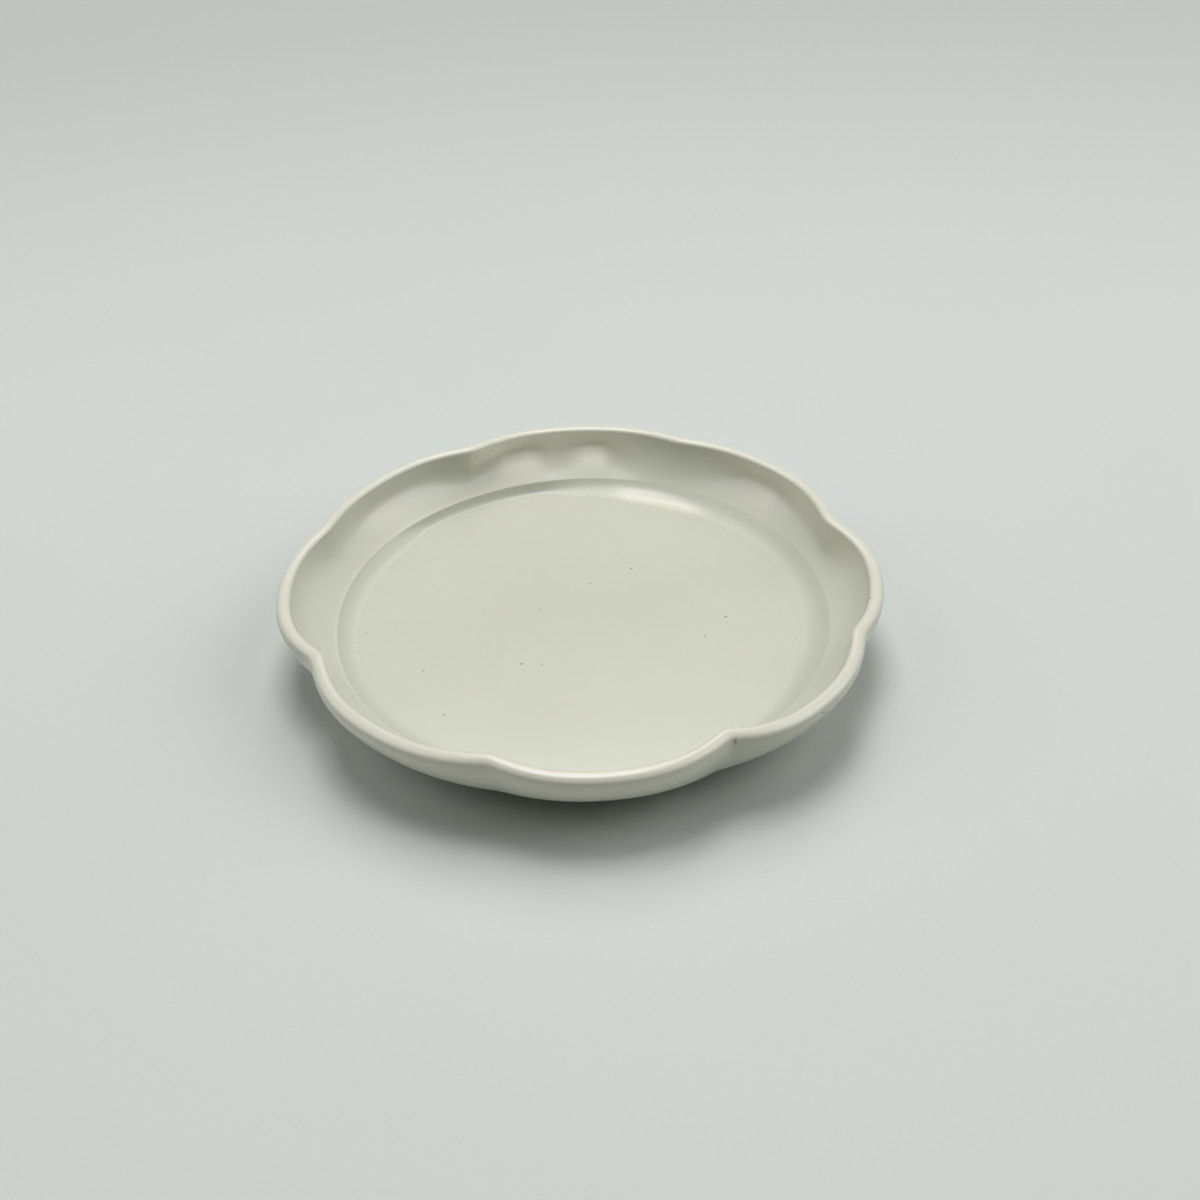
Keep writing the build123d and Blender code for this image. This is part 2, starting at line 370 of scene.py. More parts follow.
def wall_outline(sizes, lobe, share, skin, rows):
    """From the floor's edge over the lip to the underside, a skin below the glazed surface."""
    cove_rows, ledge_rows, inner_rows, lip_rows, outer_rows = rows
    turn = turn_at(sizes, lobe, share)
    weight, depth, rise = pinch_at(sizes, lobe, share)
    pressed = press_at(sizes, turn)
    hollow, ridge = max(pressed, 0), max(-pressed, 0)
    steeper = sizes.slope_per_press * hollow + sizes.slope_per_ridge * ridge
    ledge_slope = sizes.ledge_slope + radians(steeper) / MM
    slope = Vector((cos(ledge_slope), sin(ledge_slope)))
    cove, ledge = step_runs(sizes, turn, ledge_slope, skin, cove_rows, ledge_rows)
    rim = sizes.rim_radius + sizes.lobe_reaches[lobe] * (1 - weight) - depth * weight
    lip_z = sizes.foot_height + sizes.floor_thickness + sizes.step_height + sizes.wall_height
    lip, heading = lip_run(sizes, turn, Vector((rim, lip_z + rise * weight)), skin, lip_rows)
    raised = sizes.lean_per_pinch * depth * weight + sizes.lean_per_press * abs(pressed)
    lean = sizes.wall_lean + radians(raised) / MM
    wall_up = Vector((cos(lean), sin(lean)))
    lead_in = ledge[-1] + slope * (sizes.inner_ledge_handle + PRESS_LEDGE_LEAD * hollow - ridge)
    lead_up = lip[0] - wall_up * (sizes.inner_lip_handle - PRESS_LIP_LEAD * hollow)
    inner = curve_points(ledge[-1], lead_in, lead_up, lip[0], inner_rows)
    base = Vector((sizes.base_radius, sizes.foot_height + skin))
    lead_out = lip[-1] + heading * sizes.outer_lip_handle
    lead_base = base + Vector((sizes.outer_base_handle, 0))
    outer = curve_points(lip[-1], lead_out, lead_base, base, outer_rows)
    return cove, ledge, inner, lip, outer


def foot_side(sizes):
    """Run of the foot's slanting side for each unit of height."""
    return (sizes.foot_top_width - sizes.foot_bottom_width) / 2 / (sizes.foot_height + sizes.glaze_thickness)


def foot_coat(sizes, outward):
    """Glaze down the foot's outer side (outward is 1) or inner side (-1) to the wiped line.

    Gives the fillet under the dish, the skirt, its rolled edge and the clay's corner behind the fillet."""
    skin, side = sizes.glaze_thickness, outward * foot_side(sizes)
    coat_run = skin * sqrt(1 + side**2)
    foot_low = sizes.foot_radius + outward * sizes.foot_bottom_width / 2
    root = Vector((foot_low + side * sizes.foot_height + outward * coat_run, sizes.foot_height))
    bead_start = root + Vector((outward * sizes.glaze_bead, 0))
    bead_end = root - Vector((side, 1)) * sizes.glaze_bead
    bead = rounded_corner(bead_start, root, bead_end, ROUNDING_LEAD, BEAD_ROWS)
    wiped = Vector((foot_low + side * sizes.bare_foot_height, sizes.bare_foot_height))
    roll = wiped + Vector((outward * coat_run, 0))
    skirt = line_points(bead_end, roll + Vector((side, 1)) * coat_run, SKIRT_ROWS)
    edge = curve_points(skirt[-1], roll, roll, wiped, ROLLED_EDGE_ROWS)
    clay_root = Vector((foot_low + side * (sizes.foot_height + skin), sizes.foot_height + skin))
    return bead, skirt, edge, clay_root


def coat_outline(sizes, lobe, share):
    """The whole coat: over the dish, down to the wiped line on the foot and back along the clay.

    Gives the points with, for each, how thin the glaze is drawn and where painted light lies on it, how much
    painted highlight and painted light lies on it, and how far it has pooled or where painted shade lies on
    it."""
    skin = sizes.glaze_thickness
    floor_z = sizes.foot_height + sizes.floor_thickness
    cove, ledge, inner, lip, outer = wall_outline(sizes, lobe, share, 0, SURFACE_ROWS)
    floor = line_points(Vector((0, floor_z)), cove[0], FLOOR_ROWS)[1:-1]
    bead, skirt, edge, clay_root = foot_coat(sizes, 1)
    underside = line_points(outer[-1], bead[0], UNDERSIDE_ROWS)
    back = line_points(edge[-1], clay_root, COAT_BACK_ROWS)
    clay_walls = wall_outline(sizes, lobe, share, skin, CLAY_SIDE_ROWS)
    clay = [point for run in clay_walls for point in run[1:]][::-1]
    clay_floor = line_points(clay_walls[0][0], Vector((0, floor_z - skin)), CLAY_FLOOR_ROWS)
    turn = turn_at(sizes, lobe, share)
    # Painted light, partly thinner glaze: stretches of the walls and of the outer front wall that are painted
    # lighter
    drained_back = stretch(turn, *sizes.drained_back, STEP_FADE / 2)
    drained = max(stretch(turn, *sizes.drained_right, STEP_FADE / 2), drained_back)
    drained_outside = stretch(turn, *sizes.drained_outside, STEP_FADE)
    softened = stretch(turn, *sizes.soft_step, STEP_FADE)
    # Painted highlight in the cove where the throwing spiral ends, and painted shade along the back ledge
    spiral = stretch(turn, *sizes.spiral_end, STREAK_FADE)
    shaded = stretch(turn, *sizes.shaded_ledge, STEP_FADE / 2)
    # Painted highlight on pressed places, and painted light high on the back wall
    pale = ramp(press_at(sizes, turn), sizes.pale_press / 2, sizes.pale_press)
    painted_light_above = PAINTED_LIGHT_ABOVE * drained_back
    shoulder, wall, outside = ledge[1:], inner[1:], outer[1:]
    runs = [
        (floor, 0, 0),
        (cove, 0, 1 - spiral),
        (shoulder, SHOULDER_THIN - SOFT_SHOULDER_LOSS * softened, 0),
        (wall, 0, 0),
        (lip[1:], 1, 0),
        (outside, 0, 0),
        (underside[1:], 0, 0),
        (bead[1:], 0, 1),
        (skirt[1:], 0, 0),
        (edge[1:], 1, 0),
        (back[1:], 0, 0),
        (clay, 0, 0),
        (clay_floor[:-1], 0, 0),
    ]
    outline = []
    for points, thin, pooled in runs:
        for number, point in enumerate(points):
            along = (number + 1) / (len(points) + 1)
            swell = sin(pi * along)
            thin_and_lit, light_painted, gathered = thin * swell, 0, pooled * swell
            if points is wall:
                # Painted light up the wall, partly for thinner glaze; painted highlight on pressed places and
                # painted light above them
                thin_and_lit = ramp(along, *WALL_THIN_LIT) * drained
                light_painted = ramp(along, *PRESS_HIGHLIGHT_START) * (1 - ramp(along, *PRESS_HIGHLIGHT_END)) * pale
                light_painted = max(light_painted, ramp(along, *WALL_PAINTED_LIGHT) * painted_light_above)
                # Painted shade at the foot of the wall along the back ledge
                gathered = (1 - ramp(along, *LEDGE_SHADE)) * shaded
            elif points is shoulder:
                # Painted shade on the back ledge's edge
                gathered = along * shaded
            elif points is cove:
                # Painted highlight where the throwing spiral ends
                thin_and_lit = (1 - ramp(along, *COVE_HIGHLIGHT)) * spiral
            elif points is outside:
                # Painted light on the outer front wall, partly for thinner glaze
                thin_and_lit = (1 - ramp(along, *OUTSIDE_THIN_LIT)) * drained_outside
            outline.append((point, thin_and_lit, light_painted, gathered))
    return outline


def pinched_columns(sizes):
    """The columns of a pinched piece, closer together at the pinches: lobe, share across it and angle."""
    columns = []
    for lobe, count in enumerate(sizes.lobe_columns):
        for number in range(count):
            even = number / count
            share = even - COLUMN_CROWDING * sin(2 * pi * even) / (2 * pi)
            columns.append((lobe, share, turn_at(sizes, lobe, share)))
    return columns


def ring_lift(sizes, row, radius, turn):
    """Lift of the throwing rings in one of the coat's rows, fading out towards the floor's edge."""
    if row >= FLOOR_ROWS - 1:
        return 0.0
    fade = 1 - (row / (FLOOR_ROWS - 1)) ** RING_FADE_POWER
    return sizes.ring_depth * fade * sin(2 * pi * radius / sizes.ring_pitch + turn)


def swing(point, turn, lift=0.0):
    """An outline point carried round the axis to an angle, and lifted."""
    return Vector((point.x * cos(turn), point.x * sin(turn), point.y + lift))


def round_rows(outline, columns):
    """Rows of a turned piece: each outline point carried all the way round the axis."""
    turns = [2 * pi * number / columns for number in range(columns)]
    return [[swing(point, turn) for turn in turns] for point in outline]


# Modelling by hand: a ring is drawn out row by row in edit mode


def start_ring(name, columns, radius):
    """A bare ring of vertices, each remembering its column, left in edit mode."""
    bpy.ops.object.select_all(action="DESELECT")
    bpy.ops.mesh.primitive_circle_add(vertices=columns, radius=radius, fill_type="NOTHING")
    piece = bpy.context.active_object
    piece.name = piece.data.name = name
    bpy.ops.object.mode_set(mode="EDIT")
    bpy.ops.mesh.select_mode(type="VERT")
    bpy.ops.mesh.select_all(action="SELECT")
    shape = bmesh.from_edit_mesh(piece.data)
    column = shape.verts.layers.int.new("column")
    for number, vert in enumerate(shape.verts):
        vert[column] = number
    bmesh.update_edit_mesh(piece.data)
    return piece


def set_row(piece, places, values=None):
    """Moves the selected row to its places, and notes there what the glaze does."""
    shape = bmesh.from_edit_mesh(piece.data)
    column = shape.verts.layers.int["column"]
    layers = {name: shape.verts.layers.float.get(name) or shape.verts.layers.float.new(name)
              for name in (values or {})}
    for vert in [vert for vert in shape.verts if vert.select]:
        vert.co = places[vert[column]]
        for name, layer in layers.items():
            vert[layer] = values[name][vert[column]]
    bmesh.update_edit_mesh(piece.data)


def extrude_in_place():
    """A new row on top of the selected one."""
    bpy.ops.mesh.extrude_region_move(TRANSFORM_OT_translate={"value": (0, 0, 0)})


def draw_out(piece, rows, notes=None):
    """Sets the first row and extrudes the others from it, one after the other."""
    notes = notes or [None] * len(rows)
    set_row(piece, rows[0], notes[0])
    for places, values in zip(rows[1:], notes[1:]):
        extrude_in_place()
        set_row(piece, places, values)


def select_open_rings():
    """Selects the rings at which a piece is still open."""
    bpy.ops.mesh.select_all(action="DESELECT")
    bpy.ops.mesh.select_non_manifold()


def close_pole():
    """Draws the selected ring in to one point on the axis."""
    extrude_in_place()
    bpy.ops.mesh.merge(type="CENTER")


def close_poles():
    """Closes a piece on the axis, at its last row and then at its first."""
    close_pole()
    select_open_rings()
    close_pole()


def finish_piece(piece, slot, *nodes):
    """Turns the faces outwards, smooths the piece and sets it in the frame."""
    bpy.ops.mesh.select_all(action="SELECT")
    bpy.ops.mesh.normals_make_consistent(inside=False)
    bpy.ops.object.mode_set(mode="OBJECT")
    bpy.ops.object.shade_smooth_by_angle(angle=SHARP_ANGLE)
    piece.data.attributes.remove(piece.data.attributes["column"])
    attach(piece, "root")
    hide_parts(*nodes)


# Materials


def feed(tree, socket, value):
    """Links a socket to another node's output, or sets the socket's own value."""
    if isinstance(value, bpy.types.NodeSocket):
        tree.links.new(value, socket)
    else:
        socket.default_value = value


def put(tree, kind, inputs=None, **settings):
    """A node with its settings, and with values or other nodes' outputs fed to its inputs."""
    node = tree.nodes.new(kind)
    for name, value in settings.items():
        setattr(node, name, value)
    for key, value in (inputs or {}).items():
        feed(tree, node.inputs[key], value)
    return node


def maths(tree, operation, *values):
    """The result of one Math node."""
    return put(tree, "ShaderNodeMath", dict(enumerate(values)), operation=operation).outputs[0]


def vectors(tree, operation, *values):
    """The node of one sum on vectors."""
    return put(tree, "ShaderNodeVectorMath", dict(enumerate(values)), operation=operation)


def length_of(tree, vector):
    """The length of a vector."""
    return vectors(tree, "LENGTH", vector).outputs["Value"]


def spread(tree, value, low, high, to_low=0.0, to_high=1.0):
    """A value carried smoothly from one range to another."""
    inputs = {"Value": value, "From Min": low, "From Max": high, "To Min": to_low, "To Max": to_high}
    return put(tree, "ShaderNodeMapRange", inputs, interpolation_type="SMOOTHSTEP").outputs["Result"]


def blend(tree, share, first, second):
    """One colour laid over another."""
    node = put(tree, "ShaderNodeMix", data_type="RGBA")
    values = {"Factor_Float": share, "A_Color": first, "B_Color": second}
    for socket in node.inputs:
        if socket.identifier in values:
            feed(tree, socket, values[socket.identifier])
    return next(socket for socket in node.outputs if socket.identifier == "Result_Color")


def scaled(tree, value, factor):
    """A value times a factor."""
    return maths(tree, "MULTIPLY", value, factor)


def seen_rays(tree):
    """1 for the rays that show a thing to the camera, straight, mirrored or through glass, and else 0."""
    path = put(tree, "ShaderNodeLightPath").outputs
    return maths(tree, "ADD", path["Is Camera Ray"],
                 maths(tree, "ADD", path["Is Glossy Ray"], path["Is Transmission Ray"]))


def solid(colour, shade=1.0):
    """A colour, darker or paler by a factor, with full alpha as colour sockets take it."""
    return (*(shade * part for part in colour), 1.0)


def make_group(name, inputs, outputs):
    """A shader node group with named sockets, and its two end nodes."""
    tree = bpy.data.node_groups.new(name, "ShaderNodeTree")
    tree.interface.new_socket(name="Vector", in_out="INPUT", socket_type="NodeSocketVector")
    for label, default in inputs.items():
        socket = tree.interface.new_socket(name=label, in_out="INPUT", socket_type="NodeSocketFloat")
        socket.default_value = default
    for label in outputs:
        tree.interface.new_socket(name=label, in_out="OUTPUT", socket_type="NodeSocketFloat")
    return tree, tree.nodes.new("NodeGroupInput").outputs, tree.nodes.new("NodeGroupOutput").inputs


# Specks: smallest and largest share of their full size, and from where to where their edge fades
SPECK_SIZES = (0.45, 1.0)
SPECK_EDGE = (1.0, 0.5)

# Noise values that count as no cloud and as full cloud
CLOUD_RANGE = (0.3, 0.7)


def iron_specks_group():
    """Small scattered spots: a share of the cells hold one, and each has its own size."""
    tree, given, result = make_group("iron_specks", {"Cells": 200.0, "Size": 0.1, "Share": 0.1}, ["Mask"])
    cell = put(tree, "ShaderNodeTexVoronoi", {"Vector": given["Vector"], "Scale": given["Cells"]})
    draw = put(tree, "ShaderNodeSeparateColor", {"Color": cell.outputs["Color"]})
    held = maths(tree, "LESS_THAN", draw.outputs["Red"], given["Share"])
    size = spread(tree, draw.outputs["Green"], 0.0, 1.0, *SPECK_SIZES)
    radius = maths(tree, "MULTIPLY", given["Size"], size)
    soft = spread(tree, maths(tree, "DIVIDE", cell.outputs["Distance"], radius), *SPECK_EDGE)
    feed(tree, result["Mask"], maths(tree, "MULTIPLY", held, soft))
    return tree


def throwing_rings_group():
    """The potter's spiral: ridges round the axis, a little uneven."""
    tree, given, result = make_group("throwing_rings", {"Pitch": 0.004, "Wander": 1.5}, ["Height"])
    place = put(tree, "ShaderNodeSeparateXYZ", {"Vector": given["Vector"]}).outputs
    flat = put(tree, "ShaderNodeCombineXYZ", {"X": place["X"], "Y": place["Y"]})
    radius = length_of(tree, flat.outputs[0])
    turn = maths(tree, "ARCTAN2", place["Y"], place["X"])
    wander = put(tree, "ShaderNodeTexNoise", {"Vector": given["Vector"], "Scale": 35.0, "Detail": 2.0})
    phase = scaled(tree, maths(tree, "DIVIDE", radius, given["Pitch"]), 2 * pi)
    uneven = maths(tree, "MULTIPLY", wander.outputs[0], given["Wander"])
    wave = maths(tree, "SINE", maths(tree, "ADD", maths(tree, "ADD", phase, turn), uneven))
    feed(tree, result["Height"], maths(tree, "MULTIPLY_ADD", wave, 0.5, 0.5))
    return tree


def cloudiness_group():
    """Soft unevenness at two scales, from 0 to 1."""
    tree, given, result = make_group("cloudiness", {"Broad": 30.0, "Fine": 400.0}, ["Cloud", "Grain"])
    for scale, detail, output in (("Broad", 3.0, "Cloud"), ("Fine", 4.0, "Grain")):
        noise = put(tree, "ShaderNodeTexNoise",
                    {"Vector": given["Vector"], "Scale": given[scale], "Detail": detail})
        feed(tree, result[output], spread(tree, noise.outputs[0], *CLOUD_RANGE))
    return tree


GROUPS = {
    "iron_specks": iron_specks_group,
    "throwing_rings": throwing_rings_group,
    "cloudiness": cloudiness_group,
}


def place_group(tree, name, **values):
    """A shared group, built the first time it is asked for, set into a material with its own values."""
    group = bpy.data.node_groups.get(name) or GROUPS[name]()
    return put(tree, "ShaderNodeGroup", values, node_tree=group).outputs


def new_material(name):
    """A material with its tree, its Principled shader and the piece's own coordinates."""
    material = bpy.data.materials.new(name)
    material.use_nodes = True
    tree = material.node_tree
    tree.nodes.clear()
    shader = tree.nodes.new("ShaderNodeBsdfPrincipled")
    out = tree.nodes.new("ShaderNodeOutputMaterial")
    tree.links.new(shader.outputs["BSDF"], out.inputs["Surface"])
    return material, tree, shader, put(tree, "ShaderNodeTexCoord").outputs["Object"]


def add_relief(tree, shader, rings, grain, strength, distance):
    """Fine relief on a shader, from the heights of its throwing rings and its grain."""
    height = maths(tree, "ADD", rings, grain)
    bump = put(tree, "ShaderNodeBump", {"Strength": strength, "Distance": distance, "Height": height})
    feed(tree, shader.inputs["Normal"], bump.outputs["Normal"])


# The one larger iron spot: long in height, so that it is a short upright streak; radius in metres
SPOT_SHAPE = (1.0, 1.0, 0.4)
SPOT_RADIUS = 0.0006
SPOT_STRENGTH = 0.55

# Glaze: its shade where it is deep, how strongly its states and specks colour it, and its sheen and relief
DEEP_SHADE = 0.965
THIN_LIT_STRENGTH = 0.9
POOLED_AND_SHADE_STRENGTH = 0.7
BIG_SPECK_STRENGTH = 0.55
FINE_SPECK_STRENGTH = 0.4
GLAZE_ROUGHNESS = (0.20, 0.24)
POOLED_ROUGHNESS = 0.2
GLAZE_RING_HEIGHT = 0.08
GLAZE_GRAIN_HEIGHT = 0.008

# Clay: its shade where it is worn and where it is dusty, how strongly grain and grog show, and its relief
WORN_SHADE = 0.86
DUSTY_SHADE = 1.12
DUST_STRENGTH = 0.35
GROG_STRENGTH = 0.6
CLAY_ROUGHNESS = (0.72, 0.88)
CLAY_RING_HEIGHT = 0.6
CLAY_GRAIN_HEIGHT = 0.8

# Table: width in metres, its shades, the painted shade behind the plate, and the metres behind the plate over
# which that painted shade deepens
TABLE_WIDTH = 6.0
DULL_SHADE = 0.975
DULL_GRAIN_STRENGTH = 0.4
FAR_PAINTED_SHADE = 0.84
PAINTED_SHADE_FADE = (0.06, 0.5)
TABLE_ROUGHNESS = (0.55, 0.65)

# Glow that keeps the far table as pale as the room, beyond the lamps' reach and without lighting the
# plate: from and to how many metres out it grows, and from and to what strength
NEAR_GLOW = (0.45, 1.15, 0.0, 0.58)
FAR_GLOW = (1.6, 3.2, 0.0, 0.24)


def iron_spot(tree, where, place):
    """How strongly the one larger spot shows, fading towards its edge."""
    away = vectors(tree, "SUBTRACT", where, place).outputs[0]
    reach = length_of(tree, vectors(tree, "MULTIPLY", away, SPOT_SHAPE).outputs[0])
    return scaled(tree, spread(tree, reach, SPOT_RADIUS, 0.0), SPOT_STRENGTH)


def glaze_material(name, looks, coated):
    """Satin glaze with cloudy depth, specks and throwing rings; a coat also thins and pools it, and carries
    painted light, a painted highlight and painted shade.
    """
    material, tree, shader, where = new_material(name)
    clouds = place_group(tree, "cloudiness", Vector=where, Broad=28.0, Fine=2400.0)
    rings = place_group(tree, "throwing_rings", Vector=where, Pitch=0.0023, Wander=3.0)
    big = place_group(tree, "iron_specks", Vector=where, Cells=200.0, Size=0.09, Share=0.45)
    fine = place_group(tree, "iron_specks", Vector=where, Cells=310.0, Size=0.06, Share=0.4)
    colour = blend(tree, clouds["Cloud"], solid(looks.glaze, DEEP_SHADE), solid(looks.glaze))
    marks = maths(tree, "MAXIMUM", scaled(tree, big["Mask"], BIG_SPECK_STRENGTH),
                  scaled(tree, fine["Mask"], FINE_SPECK_STRENGTH))
    rough = spread(tree, clouds["Grain"], 0.0, 1.0, *GLAZE_ROUGHNESS)
    if coated:
        # The coat's notes: thin is thinner glaze and painted light, pale is painted highlight and painted
        # light, pooled is pooling and painted shade
        thin, pale, pooled = [put(tree, "ShaderNodeAttribute", attribute_name=state).outputs["Fac"]
                              for state in GLAZE_STATES]
        # Thinner glaze at edges, painted light on stretches of the walls, and the cove's painted highlight
        colour = blend(tree, scaled(tree, thin, THIN_LIT_STRENGTH), colour, solid(looks.thin_glaze))
        # Painted highlight on pressed places and painted light high on the back wall
        colour = blend(tree, pale, colour, solid(looks.palest_glaze))
        # Glaze pooled in the cove and fillet, and painted shade along the back ledge
        colour = blend(tree, scaled(tree, pooled, POOLED_AND_SHADE_STRENGTH), colour, solid(looks.pooled_glaze))
        marks = maths(tree, "MAXIMUM", marks, iron_spot(tree, where, looks.spot_place))
        rough = maths(tree, "MULTIPLY_ADD", pooled, POOLED_ROUGHNESS, rough)
    feed(tree, shader.inputs["Base Color"], blend(tree, marks, colour, solid(looks.speck)))
    feed(tree, shader.inputs["Roughness"], rough)
    shader.inputs["IOR"].default_value = 1.5
    add_relief(tree, shader, scaled(tree, rings["Height"], GLAZE_RING_HEIGHT),
               scaled(tree, clouds["Grain"], GLAZE_GRAIN_HEIGHT), strength=0.35, distance=0.00003)
    return material


def clay_material(name, looks, shade, ring_pitch):
    """Fired clay: grainy, matt, with dark specks and the marks of turning."""
    material, tree, shader, where = new_material(name)
    clouds = place_group(tree, "cloudiness", Vector=where, Broad=60.0, Fine=1800.0)
    rings = place_group(tree, "throwing_rings", Vector=where, Pitch=ring_pitch, Wander=1.0)
    grog = place_group(tree, "iron_specks", Vector=where, Cells=700.0, Size=0.22, Share=0.12)
    base = [shade * part for part in looks.clay]
    colour = blend(tree, clouds["Cloud"], solid(base, WORN_SHADE), solid(base))
    colour = blend(tree, scaled(tree, clouds["Grain"], DUST_STRENGTH), colour, solid(base, DUSTY_SHADE))
    colour = blend(tree, scaled(tree, grog["Mask"], GROG_STRENGTH), colour, solid(looks.speck))
    feed(tree, shader.inputs["Base Color"], colour)
    feed(tree, shader.inputs["Roughness"], spread(tree, clouds["Grain"], 0.0, 1.0, *CLAY_ROUGHNESS))
    add_relief(tree, shader, scaled(tree, rings["Height"], CLAY_RING_HEIGHT),
               scaled(tree, clouds["Grain"], CLAY_GRAIN_HEIGHT), strength=0.6, distance=0.00006)
    return material


def table_material(looks):
    """Pale smooth table top, faintly grained and cloudy, with painted shade that darkens it behind the plate,
    and far out a glow that the camera and reflections see.
    """
    material, tree, shader, where = new_material("pale_table")
    clouds = place_group(tree, "cloudiness", Vector=where, Broad=5.0, Fine=1500.0)
    dull = solid(looks.table, DULL_SHADE)
    colour = blend(tree, clouds["Cloud"], dull, solid(looks.table))
    colour = blend(tree, scaled(tree, clouds["Grain"], DULL_GRAIN_STRENGTH), colour, dull)
    # Painted shade: the table is painted darker behind the plate
    behind = put(tree, "ShaderNodeSeparateXYZ", {"Vector": where}).outputs["Y"]
    colour = blend(tree, spread(tree, behind, *PAINTED_SHADE_FADE), colour, solid(looks.table, FAR_PAINTED_SHADE))
    feed(tree, shader.inputs["Base Color"], colour)
    feed(tree, shader.inputs["Roughness"], spread(tree, clouds["Grain"], 0.0, 1.0, *TABLE_ROUGHNESS))
    away = length_of(tree, where)
    glow = maths(tree, "ADD", spread(tree, away, *NEAR_GLOW), spread(tree, away, *FAR_GLOW))
    shown = maths(tree, "MULTIPLY", glow, seen_rays(tree))
    feed(tree, shader.inputs["Emission Color"],
         blend(tree, shown, solid(looks.table, 0.0), solid(looks.table)))
    shader.inputs["Emission Strength"].default_value = 1.0
    shader.inputs["Specular IOR Level"].default_value = 0.25
    return material


def wear(piece, material):
    """Gives a piece its one material."""
    piece.data.materials.clear()
    piece.data.materials.append(material)


# Soft square lamps around the plate: name, place and width in metres, power in watts
LAMPS = (
    ("lamp_overhead", (-0.04, 0.15, 1.18), 0.5, 5.8),
    ("lamp_behind", (0.0, 0.68, 1.10), 0.6, 4.1),
    ("lamp_left", (-0.98, 0.0, 0.86), 1.0, 4.3),
    ("lamp_right", (0.98, 0.0, 0.86), 1.0, 7.1),
)

# The viewing angle of the photograph, in metres where it is a length
CAMERA_ELEVATION = radians(36.95)
CAMERA_ROLL = radians(-1.57)
CAMERA_DISTANCE = 0.3412
CAMERA_TARGET = Vector((3.83, -8.20, 18.55)) * MM


# Operators


class PLATE_OT_clay_dish(bpy.types.Operator):
    """Pinch the clay dish, one glaze thickness inside the glazed surface"""

    bl_idname = "plate.clay_dish"
    bl_label = "Clay dish"

    def execute(self, context):
        sizes, looks = context.scene.plate_sizes, context.scene.plate_looks
        skin = sizes.glaze_thickness
        floor_middle = Vector((0, sizes.foot_height + sizes.floor_thickness - skin))
        base_middle = Vector((0, sizes.foot_height + skin))
        columns = pinched_columns(sizes)
        outlines = []
        for lobe, share, turn in columns:
            walls = wall_outline(sizes, lobe, share, skin, CLAY_SIDE_ROWS)
            wall = [point for run in walls for point in run[1:]]
            floor = line_points(floor_middle, walls[0][0], CLAY_FLOOR_ROWS)[1:]
            base = line_points(wall[-1], base_middle, CLAY_FLOOR_ROWS)[1:-1]
            outlines.append([swing(point, turn) for point in floor + wall + base])
        piece = start_ring("clay_dish", len(columns), MM)
        draw_out(piece, list(zip(*outlines)))
        close_poles()
        finish_piece(piece, "fired_clay", "plate_body")
        wear(piece, clay_material("fired_clay", looks, shade=1.06, ring_pitch=0.002))
        return {"FINISHED"}


class PLATE_OT_glaze_coat(bpy.types.Operator):
    """Draw the glaze over the pinched dish, from the floor's middle over the lip to the foot"""

    bl_idname = "plate.glaze_coat"
    bl_label = "Glaze over the dish"

    def execute(self, context):
        sizes, looks = context.scene.plate_sizes, context.scene.plate_looks
        columns = pinched_columns(sizes)
        outlines = [coat_outline(sizes, lobe, share) for lobe, share, turn in columns]
        turns = [turn for lobe, share, turn in columns]
        rows, notes = [], []
        for number, across in enumerate(zip(*outlines)):
            points, *states = zip(*across)
            rows.append([swing(point, turn, ring_lift(sizes, number, point.x, turn))
                         for point, turn in zip(points, turns)])
            notes.append(dict(zip(GLAZE_STATES, states)))
        piece = start_ring("glaze_over_dish", len(columns), MM)
        draw_out(piece, rows, notes)
        close_poles()
        finish_piece(piece, "satin_glaze", "glaze_coat")
        wear(piece, glaze_material("satin_glaze", looks, True))
        return {"FINISHED"}


class PLATE_OT_recess_glaze(bpy.types.Operator):
    """Draw the glaze inside the foot, with its soft fillet and rolled edge"""

    bl_idname = "plate.recess_glaze"
    bl_label = "Glaze in the recess"

    def execute(self, context):
        sizes, looks = context.scene.plate_sizes, context.scene.plate_looks
        bead, skirt, edge, clay_root = foot_coat(sizes, -1)
        middle = line_points(Vector((0, sizes.foot_height)), bead[0], RECESS_ROWS)
        back = line_points(edge[-1], clay_root, RECESS_BACK_ROWS)
        top_middle = Vector((0, sizes.foot_height + sizes.glaze_thickness))
        top = line_points(clay_root, top_middle, RECESS_TOP_ROWS)
        outline = middle[1:] + bead[1:] + skirt[1:] + edge[1:] + back[1:] + top[1:-1]
        piece = start_ring("glaze_in_recess", RECESS_COLUMNS, MM)
        draw_out(piece, round_rows(outline, RECESS_COLUMNS))
        close_poles()
        finish_piece(piece, "recess_glaze", "recess_glaze")
        wear(piece, glaze_material("recess_glaze", looks, False))
        return {"FINISHED"}


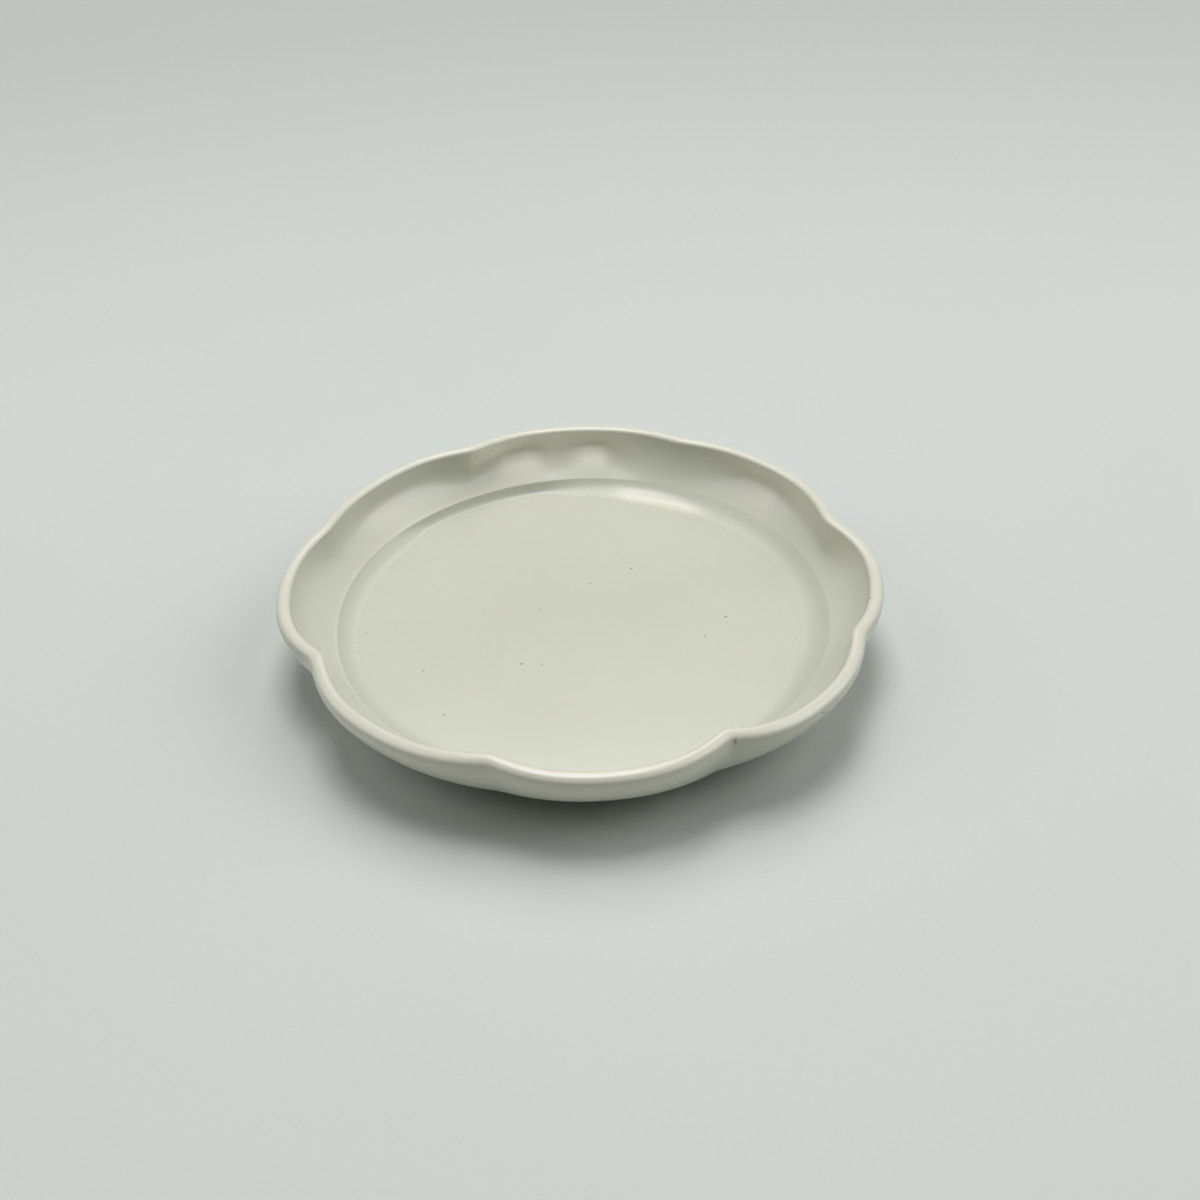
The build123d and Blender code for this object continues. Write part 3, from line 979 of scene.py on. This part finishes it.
class PLATE_OT_turned_foot(bpy.types.Operator):
    """Turn the bare clay foot"""

    bl_idname = "plate.turned_foot"
    bl_label = "Turned clay foot"

    def execute(self, context):
        sizes, looks = context.scene.plate_sizes, context.scene.plate_looks
        top = sizes.foot_height + sizes.glaze_thickness
        half_low, half_top, edge = sizes.foot_bottom_width / 2, sizes.foot_top_width / 2, sizes.foot_edge
        corner = Vector((half_low, 0))
        edge_top = Vector((half_low + foot_side(sizes) * edge, edge))
        rounding = rounded_corner(Vector((half_low - edge, 0)), corner, edge_top, ROUNDING_LEAD, FOOT_ROWS)
        half = rounding + line_points(edge_top, Vector((half_top, top)), FOOT_ROWS)[1:]
        face = line_points(Vector((-half[0].x, 0)), half[0], FOOT_ROWS)
        around = [Vector((-point.x, point.y)) for point in half[::-1]] + face[1:-1] + half
        closing = line_points(half[-1], Vector((-half_top, top)), FOOT_TOP_ROWS)[1:-1]
        outline = [point + Vector((sizes.foot_radius, 0)) for point in around + closing]
        piece = start_ring("turned_foot", FOOT_COLUMNS, sizes.foot_radius)
        draw_out(piece, round_rows(outline, FOOT_COLUMNS))
        select_open_rings()
        bpy.ops.mesh.bridge_edge_loops()
        finish_piece(piece, "bare_clay", "foot_ring")
        wear(piece, clay_material("bare_clay", looks, shade=1.0, ring_pitch=0.0006))
        return {"FINISHED"}


class PLATE_OT_stage(bpy.types.Operator):
    """Lay the pale table, hang the soft light and set the camera"""

    bl_idname = "plate.stage"
    bl_label = "Table, light and camera"

    def execute(self, context):
        looks = context.scene.plate_looks
        bpy.ops.object.select_all(action="DESELECT")
        bpy.ops.mesh.primitive_plane_add(size=TABLE_WIDTH)
        table = context.active_object
        table.name = table.data.name = "table_top"
        wear(table, table_material(looks))
        for name, place, width, power in LAMPS:
            self.hang_light(name, Vector(place), width, power)
        self.set_world(context, looks)
        self.set_camera(context)
        context.scene.view_settings.view_transform = "Standard"
        return {"FINISHED"}

    def hang_light(self, name, place, width, power):
        """A soft square lamp that looks at the plate."""
        bpy.ops.object.light_add(type="AREA", location=place)
        lamp = bpy.context.active_object
        lamp.name = lamp.data.name = name
        lamp.rotation_euler = (-place).to_track_quat("-Z", "Y").to_euler()
        lamp.data.shape = "SQUARE"
        lamp.data.size = width
        lamp.data.energy = power

    def set_world(self, context, looks):
        """A room in the table's own colour, which the camera and reflections see but which gives no light."""
        world = bpy.data.worlds.new("room")
        context.scene.world = world
        world.use_nodes = True
        tree = world.node_tree
        tree.nodes.clear()
        unlit = put(tree, "ShaderNodeBackground", {"Strength": 0.0})
        shown = put(tree, "ShaderNodeBackground", {"Color": solid(looks.table), "Strength": 1.0})
        mixed = put(tree, "ShaderNodeMixShader",
                    {0: seen_rays(tree), 1: unlit.outputs[0], 2: shown.outputs[0]})
        put(tree, "ShaderNodeOutputWorld", {"Surface": mixed.outputs[0]})

    def set_camera(self, context):
        """A phone held in front of the plate, a little over it."""
        ahead = Vector((0, cos(CAMERA_ELEVATION), -sin(CAMERA_ELEVATION)))
        above = Vector((0, sin(CAMERA_ELEVATION), cos(CAMERA_ELEVATION)))
        right = Vector((1, 0, 0))
        side = right * cos(CAMERA_ROLL) + above * sin(CAMERA_ROLL)
        top = above * cos(CAMERA_ROLL) - right * sin(CAMERA_ROLL)
        data = bpy.data.cameras.new("front_camera")
        data.sensor_width = 36.0
        data.lens = 48.0
        data.clip_start = 0.01
        camera = bpy.data.objects.new("front_camera", data)
        context.collection.objects.link(camera)
        turn = Matrix((side, top, -ahead)).transposed()
        camera.matrix_world = Matrix.Translation(CAMERA_TARGET - ahead * CAMERA_DISTANCE) @ turn.to_4x4()
        context.scene.camera = camera


class PLATE_PT_sidebar(bpy.types.Panel):
    """Sizes, colours and steps of the plate"""

    bl_idname = "PLATE_PT_sidebar"
    bl_label = "Scalloped plate"
    bl_space_type = "VIEW_3D"
    bl_region_type = "UI"
    bl_category = "Plate"

    def draw(self, context):
        column = self.layout.column()
        for group in (context.scene.plate_sizes, context.scene.plate_looks):
            for name in group.bl_rna.properties.keys():
                if name not in ("rna_type", "name"):
                    column.prop(group, name)
        for step in STEPS:
            column.operator(step.bl_idname)


STEPS = (PLATE_OT_clay_dish, PLATE_OT_glaze_coat, PLATE_OT_recess_glaze, PLATE_OT_turned_foot, PLATE_OT_stage)
CLASSES = (PlateSizes, PlateLooks, *STEPS, PLATE_PT_sidebar)


def register():
    for cls in CLASSES:
        bpy.utils.register_class(cls)
    bpy.types.Scene.plate_sizes = PointerProperty(type=PlateSizes)
    bpy.types.Scene.plate_looks = PointerProperty(type=PlateLooks)


def unregister():
    del bpy.types.Scene.plate_looks
    del bpy.types.Scene.plate_sizes
    for cls in reversed(CLASSES):
        bpy.utils.unregister_class(cls)


def main():
    register()
    bpy.ops.plate.clay_dish()
    bpy.ops.plate.glaze_coat()
    bpy.ops.plate.recess_glaze()
    bpy.ops.plate.turned_foot()
    bpy.ops.plate.stage()


if __name__ == "__main__":
    main()
